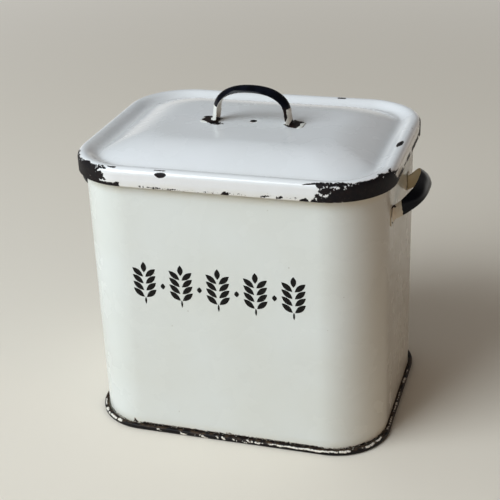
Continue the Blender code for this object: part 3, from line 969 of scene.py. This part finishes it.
def strapLine(look):
    # (u, v, half width) along a strap: u runs along the seat and v stands on it.
    strap = strapSizes
    seat = strap["seat"]
    footHalf, strapHalf = look["footWidth"] / 2, look["width"] / 2
    footU = look["halfSpan"] + look["footSplay"]
    end = footU + look["footLength"]
    pad = []
    for row in range(strap["cornerRows"] + 1):
        turn = quarter * row / strap["cornerRows"]
        pad.append((strap["corner"] * (1 - math.cos(turn)) - end, seat,
                    footHalf - strap["corner"] * (1 - math.sin(turn))))

    legTop = Vector((-look["halfSpan"], look["legHeight"]))
    corner, level = Vector((-footU, seat)), Vector((-1, 0))
    rise = (legTop - corner).normalized()
    halfAngle = rise.angle(level) / 2
    reach = strap["bend"] / math.tan(halfAngle)
    centre = corner + (rise + level).normalized() * strap["bend"] / math.sin(halfAngle)
    bendStart, bendEnd = corner + level * reach, corner + rise * reach
    pad += between(pad[-1], (*bendStart, footHalf), strap["footRows"])
    leg = []
    for row in range(1, strap["bendRows"] + 1):
        way = (bendStart - centre).slerp(bendEnd - centre, row / strap["bendRows"]).normalized()
        leg.append(tuple(centre + way * strap["bend"]))
    leg += between(bendEnd, legTop, strap["legRows"])

    arch = []
    for row in range(1, strap["archRows"]):
        turn = math.pi * row / strap["archRows"]
        along = math.copysign(abs(math.cos(turn)) ** look["power"], math.cos(turn))
        rise = math.sin(turn) ** look["power"]
        arch.append((-look["halfSpan"] * along, legTop.y + (look["height"] - legTop.y) * rise))
    line = leg + arch + [(-u, v) for u, v in reversed(leg)]
    strip = [(u, v, footHalf + (strapHalf - footHalf) * legShare(v)) for u, v in line]
    return pad + strip + [(-u, v, half) for u, v, half in reversed(pad)]


def makeStrap(name, look, place, materials):
    # place(u, v) gives a point on the strap's middle line and the direction across it.
    line = strapLine(look)
    columns, seat = strapSizes["columns"], line[0][1]
    bpy.ops.object.select_all(action="DESELECT")
    bpy.ops.mesh.primitive_grid_add(x_subdivisions=columns, y_subdivisions=len(line) - 1, size=2)
    strap = bpy.context.object
    strap.name = name
    strap.data.name = name
    middles = [place(u, v) for u, v, _ in line]
    outwards = []
    for row, (_, across) in enumerate(middles):
        along = middles[min(row + 1, len(line) - 1)][0] - middles[max(row - 1, 0)][0]
        outwards.append(across.cross(along).normalized())
    # The crown of a leg runs straight down into the bend.
    legStart = next(row for row, point in enumerate(line) if point[1] > seat + strapSizes["bend"])
    for row in range(legStart):
        outwards[row], outwards[-1 - row] = outwards[legStart], outwards[-1 - legStart]
    # The strip is laid along its bent line and pressed to its crown.
    coat = []
    for vertex in strap.data.vertices:
        row, side = round((vertex.co.y + 1) / 2 * (len(line) - 1)), vertex.co.x
        _, v, half = line[row]
        point, across = middles[row]
        sink = look["crown"] * legShare(v) * side ** 2
        vertex.co = point + across * half * side - outwards[row] * sink
        coat.append((v - seat) / mm - look["blackFrom"])
    layAttribute(strap, "coat", coat)
    for material in materials:
        strap.data.materials.append(material)
    bpy.ops.object.mode_set(mode="EDIT")
    pointFacesOut(strap, middles[len(line) // 2][0], middles[len(line) // 2][0] - middles[0][0])
    finishSheet(strap, offset=-1, material_offset=1, material_offset_rim=1)
    return strap


# Chips and runs of black on the handles.
lidHandleChips = {
    "leftFoot": chip((201.6, 119.4), (205, 117.4), (210.8, 116.2), (211, 119.6), (214, 120.4),
        (217.2, 120.1), (218.4, 117), (224, 117.4), (224.4, 124.6), (209, 124.6), (206.4, 121), fray=0.5),
    "leftFootBack": chip((-57, 7, 333), (-49, 7, 333), reach=3.2, fray=0.5),
    "rightFoot": chip((282.2, 122.4), (284.4, 121.8), (285.7, 124.6), (288.6, 125.4), (290.4, 122.6),
        (292, 119.4), (297, 118.6), (301.6, 122), (300, 125.8), (296, 128.4), (284, 128.4), fray=0.5),
    "rightFootBack": chip((49, 7, 333), (54, 7, 333), reach=3.2, fray=0.5),
    "rightStreak": chip((281, 108), (286.4, 108), (286.4, 113), (287.4, 117.5), (286.4, 120),
        (285.9, 122.4), (284.6, 121.5), (284.4, 118.5), (283, 115), (281, 112), fray=0.2),
}

rightHandleChips = {
    "bendSlit": chip((394.4, 203.4), (392.6, 207), (392, 211), (391.6, 216), reach=2.1, fray=0.3),
    "bendFork": chip((393, 206.6), (395.4, 206.8), reach=1, fray=0.3),
    "footEnd": chip((169, -63, 254), (169, -58, 252), reach=1, fray=0.5),
}

leftHandleChips = {
    "bendSlit": chip((-169, -52, 268), (-169, -52, 258), reach=0.9, fray=0.5),
    "archNick": chip((-194, -20, 280), (-195, -16, 281), reach=1.6, fray=0.6),
}


def makeLidHandle(materials, camera):
    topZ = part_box("lid_shell")[1].z
    handle = makeStrap("lidHandle", lidHandleSizes,
                       lambda u, v: (Vector((u, 0, topZ + v)), Vector((0, -1, 0))), materials)
    layWear(handle, lidHandleChips.values(), camera)
    settle(handle, "lid", "black_enamel", "lid_handle")
    return handle


def makeSideHandle(name, side, forward, node, materials, chips, camera):
    # side is 1 on the right wall and -1 on the left one.
    look = sideHandleSizes
    seat = strapSizes["seat"]
    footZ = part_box("body_wall")[1].z - look["footDrop"]

    def place(u, v):
        lift = max(v - seat, 0)
        twist = look["twist"] * (lift / (look["height"] - seat)) ** look["twistPower"]
        x = binSizes["halfWidth"] + seat + lift * math.cos(look["tilt"])
        return (Vector((side * x, u - forward, footZ + lift * math.sin(look["tilt"]))),
                Vector((math.sin(twist), 0, -side * math.cos(twist))))

    handle = makeStrap(name, look, place, materials)
    layWear(handle, chips.values(), camera)
    settle(handle, "bin", "black_enamel", node)
    return handle


# The front's stencil: a row of wheat ears with diamonds between them

stencilSizes = {
    "layer": 0.15 * mm,         # how far the black stands on the white
    "middleX": -5 * mm,
    "footZ": 163.5 * mm,
    "ears": 5,
    "pitch": 41.5 * mm,
    "grainLength": 15.5 * mm,
    "grainWidth": 6.3 * mm,
    "grainTilt": math.radians(49),
    "grainOffset": 1.3 * mm,    # from the middle line to the root of a grain
    "tiers": 4,
    "tierStep": 8.2 * mm,
    "firstTier": 8.5 * mm,      # foot of the stem to the lowest grains
    "stemWidth": 2.2 * mm,
    "stemLength": 9 * mm,
    "diamond": 7 * mm,
    "topGrain": 0.8,            # share of a grain's length that the top one has
    "topSink": 3 * mm,          # how far it stands down between the last two
    "diamondWidth": 0.75,       # share of its height
    "diamondRise": 20 * mm,     # foot of the stems to the foot of a diamond
    "fullShare": 0.36,          # of a leaf's length, where its sides are fullest
    "bulge": 0.66,              # of its width, how far its curve handles reach out
    "curveSteps": 12,
    "merge": 0.01 * mm,
}


def addLeaf(length, width, x, z, turn=0):
    # A flat leaf with two points, drawn as one closed curve and made a mesh. It stands up on the
    # front wall, turned about its own foot.
    bpy.ops.object.select_all(action="DESELECT")
    bpy.ops.curve.primitive_bezier_curve_add()
    leaf = bpy.context.object
    leaf.data.dimensions = "2D"
    leaf.data.fill_mode = "BOTH"
    leaf.data.resolution_u = stencilSizes["curveSteps"]
    leaf.data.extrude = stencilSizes["layer"] / 2
    spline = leaf.data.splines[0]
    spline.use_cyclic_u = True
    full, bulge = length * stencilSizes["fullShare"], width * stencilSizes["bulge"]
    foot, tip = spline.bezier_points
    for point, y, fullY, side in ((foot, 0, full, bulge), (tip, length, length - full, -bulge)):
        point.handle_left_type = point.handle_right_type = "FREE"
        point.co = (0, y, 0)
        point.handle_left = (-side, fullY, 0)
        point.handle_right = (side, fullY, 0)
    bpy.ops.object.convert(target="MESH")
    face = -binSizes["halfDepth"] - stencilSizes["layer"] / 2
    leaf.data.transform(Matrix.Translation((x, face, z)) @ Matrix.Rotation(quarter, 4, "X")
                        @ Matrix.Rotation(turn, 4, "Z"))
    return leaf


def makeStencil(black):
    look = stencilSizes
    leaves = []
    for ear in range(look["ears"]):
        x = look["middleX"] + (ear - (look["ears"] - 1) / 2) * look["pitch"]
        leaves.append(addLeaf(look["stemLength"], look["stemWidth"], x, look["footZ"]))
        z = look["footZ"] + look["firstTier"]
        for _ in range(look["tiers"]):
            for side in (-1, 1):
                leaves.append(addLeaf(look["grainLength"], look["grainWidth"],
                                      x + side * look["grainOffset"], z, -side * look["grainTilt"]))
            z += look["tierStep"]
        leaves.append(addLeaf(look["grainLength"] * look["topGrain"], look["grainWidth"],
                              x, z - look["topSink"]))
        if ear:
            leaves.append(addLeaf(look["diamond"], look["diamond"] * look["diamondWidth"],
                                  x - look["pitch"] / 2, look["footZ"] + look["diamondRise"]))
    bpy.ops.object.select_all(action="DESELECT")
    for leaf in leaves:
        leaf.select_set(True)
    stencil = leaves[0]
    bpy.context.view_layer.objects.active = stencil
    bpy.ops.object.join()
    stencil.name = "frontStencil"
    stencil.data.name = "frontStencil"
    bpy.ops.object.mode_set(mode="EDIT")
    bpy.ops.mesh.select_all(action="SELECT")
    bpy.ops.mesh.remove_doubles(threshold=look["merge"])
    bpy.ops.mesh.normals_make_consistent(inside=False)
    bpy.ops.object.mode_set(mode="OBJECT")
    stencil.data.materials.clear()
    stencil.data.materials.append(black)
    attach(stencil, "bin")
    return stencil


stencilLook = {
    "patterns": {"thick": (5 * mm, 3)},
    "black": "#0a0a0a",
    "thin": "#151413",          # where the black was brushed thinner
    "brushDepth": 0.05 * mm,
}


# Black enamel brushed through a stencil: dense and glossy, in places a little thinner.
def stencilBlack():
    look = stencilLook
    material, tree, shader, _, noises = newMaterial(
        "stencilBlackEnamel", {"IOR": 1.52, "Specular IOR Level": 0.15}, look["patterns"])
    thin = addNode(tree, "MapRange", [noises["thick"], 0.35, 0.7])
    colour = addNode(tree, "Mix", [thin, look["black"], look["thin"]], data_type="RGBA")
    roughness = addNode(tree, "MapRange", [thin, 0, 1, 0.14, 0.26])
    brushed = addNode(tree, "Bump", {"Height": noises["thick"], "Strength": 0.5,
                                     "Distance": look["brushDepth"]})
    feed(tree, shader, {"Base Color": colour, "Roughness": roughness, "Normal": brushed})
    return material


# Floor, background and light

stageLook = {
    "floorSize": 12,            # metres
    "floorColour": "#ece5d9",   # as the camera and the gloss see it
    "bounceColour": "#d2c2ad",  # as it lights the bin from below
    "bounceRight": "#665d54",   # the same on the side away from the key
    "bounceFrom": 0.2,          # metres to the right between which one turns into the other
    "bounceTo": 0.7,
    "fadeFrom": 0.9,            # metres from the bin between which it fades into the background
    "fadeTo": 4,
    "farColour": "#dddbd6",     # what the camera and the gloss see round the bin
    "highColour": "#65625f",    # the same overhead
    "lowShare": 0,              # heights of the view between which one turns into the other
    "highShare": 0.3,
    "airColour": "#e2e0dc",     # what lights it from all sides
    "shadeColour": "#5e554b",   # the same from the right, the side away from the key
    "airSide": -0.4,            # how far right the view goes where one turns into the other
    "shadeSide": 0.5,
    "airStrength": 0.52,
    "keyTurn": 42,              # degrees to the left of the front
    "keyRise": 38,
    "keyDistance": 4.2,
    "keyAt": (0, 0, 0.2),
    "keySize": 3,
    "keyPower": 174,
    "keyColour": "#f1faff",
    "fillAt": (4.2, -1.9, 0.9),  # a weak warm lamp low on the right, unseen itself
    "fillSize": 1.6,
    "fillPower": 23,
    "fillColour": "#ffd6b4",
}


def makeFloor():
    look = stageLook
    bpy.ops.object.select_all(action="DESELECT")
    bpy.ops.mesh.primitive_plane_add(size=look["floorSize"])
    floor = bpy.context.object
    floor.name = "floor"
    material, tree, shader, place, _ = newMaterial("plainFloor", {"IOR": 1.45, "Roughness": 0.7})
    right = addNode(tree, "SeparateXYZ", [place]).outputs["X"]
    away = addNode(tree, "MapRange", [right, look["bounceFrom"], look["bounceTo"]])
    bounce = addNode(tree, "Mix", [away, look["bounceColour"], look["bounceRight"]], data_type="RGBA")
    rays = addNode(tree, "LightPath").outputs
    colour = addNode(tree, "Mix", [rays["Is Diffuse Ray"], look["floorColour"], bounce], data_type="RGBA")
    feed(tree, shader, {"Base Color": colour})
    # Far off, the floor turns into the pale background, which the gloss sees as well.
    reach = addNode(tree, "VectorMath", [place], operation="LENGTH").outputs["Value"]
    faded = addNode(tree, "MapRange", [reach, look["fadeFrom"], look["fadeTo"]],
                    interpolation_type="SMOOTHSTEP")
    shown = addNode(tree, "Math", [rays["Is Camera Ray"], rays["Is Glossy Ray"]], operation="MAXIMUM")
    share = addNode(tree, "Math", [faded, shown], operation="MULTIPLY")
    glow = addNode(tree, "Emission", [look["farColour"]])
    both = addNode(tree, "MixShader", [share, shader, glow])
    feed(tree, tree.nodes["Material Output"], {"Surface": both})
    floor.data.materials.append(material)


def makeAir():
    # What the camera and the gloss see round the bin, and what lights it from all sides.
    look = stageLook
    world = bpy.data.worlds.new("studio")
    bpy.context.scene.world = world
    world.use_nodes = True
    tree = world.node_tree
    air = tree.nodes["Background"]
    air.inputs["Strength"].default_value = look["airStrength"]
    view = addNode(tree, "SeparateXYZ", [addNode(tree, "TexCoord").outputs["Generated"]]).outputs
    rise = addNode(tree, "MapRange", [view["Z"], look["lowShare"], look["highShare"]],
                   interpolation_type="SMOOTHERSTEP")
    right = addNode(tree, "MapRange", [view["X"], look["airSide"], look["shadeSide"]],
                    interpolation_type="SMOOTHSTEP")
    around = addNode(tree, "Mix", [right, look["airColour"], look["shadeColour"]], data_type="RGBA")
    feed(tree, air, {"Color": around})
    sky = addNode(tree, "Mix", [rise, look["farColour"], look["highColour"]], data_type="RGBA")
    far = addNode(tree, "Background", [sky, 1])
    rays = addNode(tree, "LightPath").outputs
    seen = addNode(tree, "Math", [rays["Is Camera Ray"], rays["Is Glossy Ray"]], operation="MAXIMUM")
    seen = addNode(tree, "Math", [seen, rays["Is Transmission Ray"]], operation="MAXIMUM")
    both = addNode(tree, "MixShader", [seen, air, far])
    feed(tree, tree.nodes["World Output"], {"Surface": both})


def addLamp(name, place, way, size, power, colour):
    # A square lamp that shines against the given way.
    bpy.ops.object.light_add(type="AREA", location=place)
    lamp = bpy.context.object
    lamp.name = name
    lamp.data.shape = "SQUARE"
    lamp.data.size = size
    lamp.data.energy = power
    lamp.data.color = hexColour(colour)[:3]
    lamp.rotation_mode = "QUATERNION"
    lamp.rotation_quaternion = way.to_track_quat("Z", "Y")
    return lamp


def makeStage():
    makeFloor()
    makeAir()
    look = stageLook
    turn, rise = math.radians(look["keyTurn"]), math.radians(look["keyRise"])
    way = Vector((-math.sin(turn) * math.cos(rise), -math.cos(turn) * math.cos(rise), math.sin(rise)))
    target = Vector(look["keyAt"])
    addLamp("keyLight", target + way * look["keyDistance"], way,
            look["keySize"], look["keyPower"], look["keyColour"])
    fill = addLamp("fillLight", look["fillAt"], Vector(look["fillAt"]) - target,
                   look["fillSize"], look["fillPower"], look["fillColour"])
    fill.visible_camera = False
    fill.visible_glossy = False
    bpy.context.scene.view_settings.view_transform = "Standard"


def main():
    camera = makeCamera()
    makeStage()
    lidEnamel = vitreousEnamel("whiteVitreousEnamel", lidEnamelLook)
    wallEnamel = vitreousEnamel("creamVitreousEnamel", wallEnamelLook)
    lidStrap = [blackOverCream("lidHandleEnamel", lidStrapLook),
                vitreousEnamel("lidHandleInsideEnamel", {**wallEnamelLook, **lidStrapLook})]
    # On the side handles the cream inside is painted darker, as shade.
    sideStrap = [blackOverCream("sideHandleEnamel", sideStrapLook),
                 vitreousEnamel("sideHandleInsideShadedEnamel", {**wallEnamelLook, **sideInsideShadedLook})]
    print("lid")
    makeLid(lidEnamel, camera)
    makeLidHandle(lidStrap, camera)
    print("wall and base")
    makeWall(wallEnamel, camera)
    makeBase(wornSeamEnamel("wornSeamEnamel"), camera)
    print("side handles")
    for name, side, forward, node, chips in (
            ("sideHandleRight", 1, "rightForward", "handle_right", rightHandleChips),
            ("sideHandleLeft", -1, "leftForward", "handle_left", leftHandleChips)):
        makeSideHandle(name, side, sideHandleSizes[forward], node, sideStrap, chips, camera)
    print("stencil")
    makeStencil(stencilBlack())
    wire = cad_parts["rim_wire"]
    wire.data.materials.clear()
    wire.data.materials.append(drawnSteel())


main()
